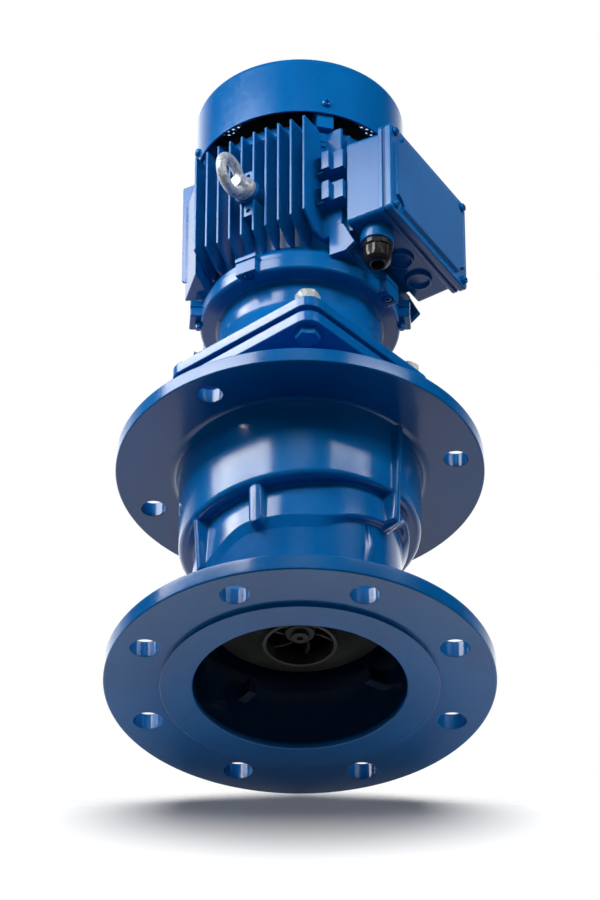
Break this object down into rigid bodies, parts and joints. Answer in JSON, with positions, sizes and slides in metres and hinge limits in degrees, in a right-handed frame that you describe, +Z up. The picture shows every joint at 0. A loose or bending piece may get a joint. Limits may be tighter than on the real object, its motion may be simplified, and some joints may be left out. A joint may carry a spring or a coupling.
{
  "type": "inline pump",
  "caption": "Flanged inline pump: a stepped cast body between two round flanges, a closed impeller in its suction bore, and a finned electric motor with a terminal box on top.",
  "frame": {"origin": "centre of the suction flange's raised face, on which the pump stands", "axes": "+Z up along the shaft to the fan cover; -Y is the front; +X is to the right of the front"},
  "size_m": [0.285, 0.285, 0.54],
  "materials": {
    "blue_paint": "glossy blue enamel over cast iron and aluminium, with fine orange peel",
    "bare_steel": "zinc plated steel, satin",
    "dark_iron": "dark grey cast iron, matt",
    "black_plastic": "moulded black plastic, satin",
    "dark_rubber": "painted over rubber, dull"
  },
  "bodies": {
    "housing": {"pump_casing": "blue_paint", "casing_cover": "blue_paint", "drive_end_shield": "blue_paint", "motor_frame": "blue_paint", "rear_end_shield": "blue_paint", "fan_cover": "blue_paint", "terminal_box": "blue_paint", "terminal_box_gasket": "dark_rubber", "terminal_box_lid": "blue_paint", "cable_gland_body": "black_plastic", "cable_gland_nut": "black_plastic", "blank_plug_middle": "blue_paint", "blank_plug_outer": "blue_paint", "lifting_eye": "bare_steel", "plate_bolt_front": "blue_paint", "plate_bolt_right": "blue_paint", "plate_bolt_back": "blue_paint", "plate_bolt_left": "blue_paint", "plate_nut_front": "bare_steel", "plate_nut_right": "bare_steel", "plate_nut_back": "bare_steel", "plate_nut_left": "bare_steel", "shield_screw_1": "blue_paint", "shield_screw_2": "blue_paint", "shield_screw_3": "blue_paint", "shield_screw_4": "blue_paint", "fan_cover_screw_1": "blue_paint", "fan_cover_screw_2": "blue_paint", "fan_cover_screw_3": "blue_paint", "fan_cover_screw_4": "blue_paint", "lid_screw_1": "blue_paint", "lid_screw_2": "blue_paint", "lid_screw_3": "blue_paint", "lid_screw_4": "blue_paint"},
    "rotor": {"shaft": "bare_steel", "impeller": "dark_iron", "impeller_cap_screw": "dark_iron", "cooling_fan": "black_plastic"}
  },
  "joints": [
    {"name": "rotor_spin", "type": "hinge", "parent": "housing", "child": "rotor", "pos_m": [0, 0, 0.3], "axis": [0, 0, 1], "continuous": true}
  ]
}
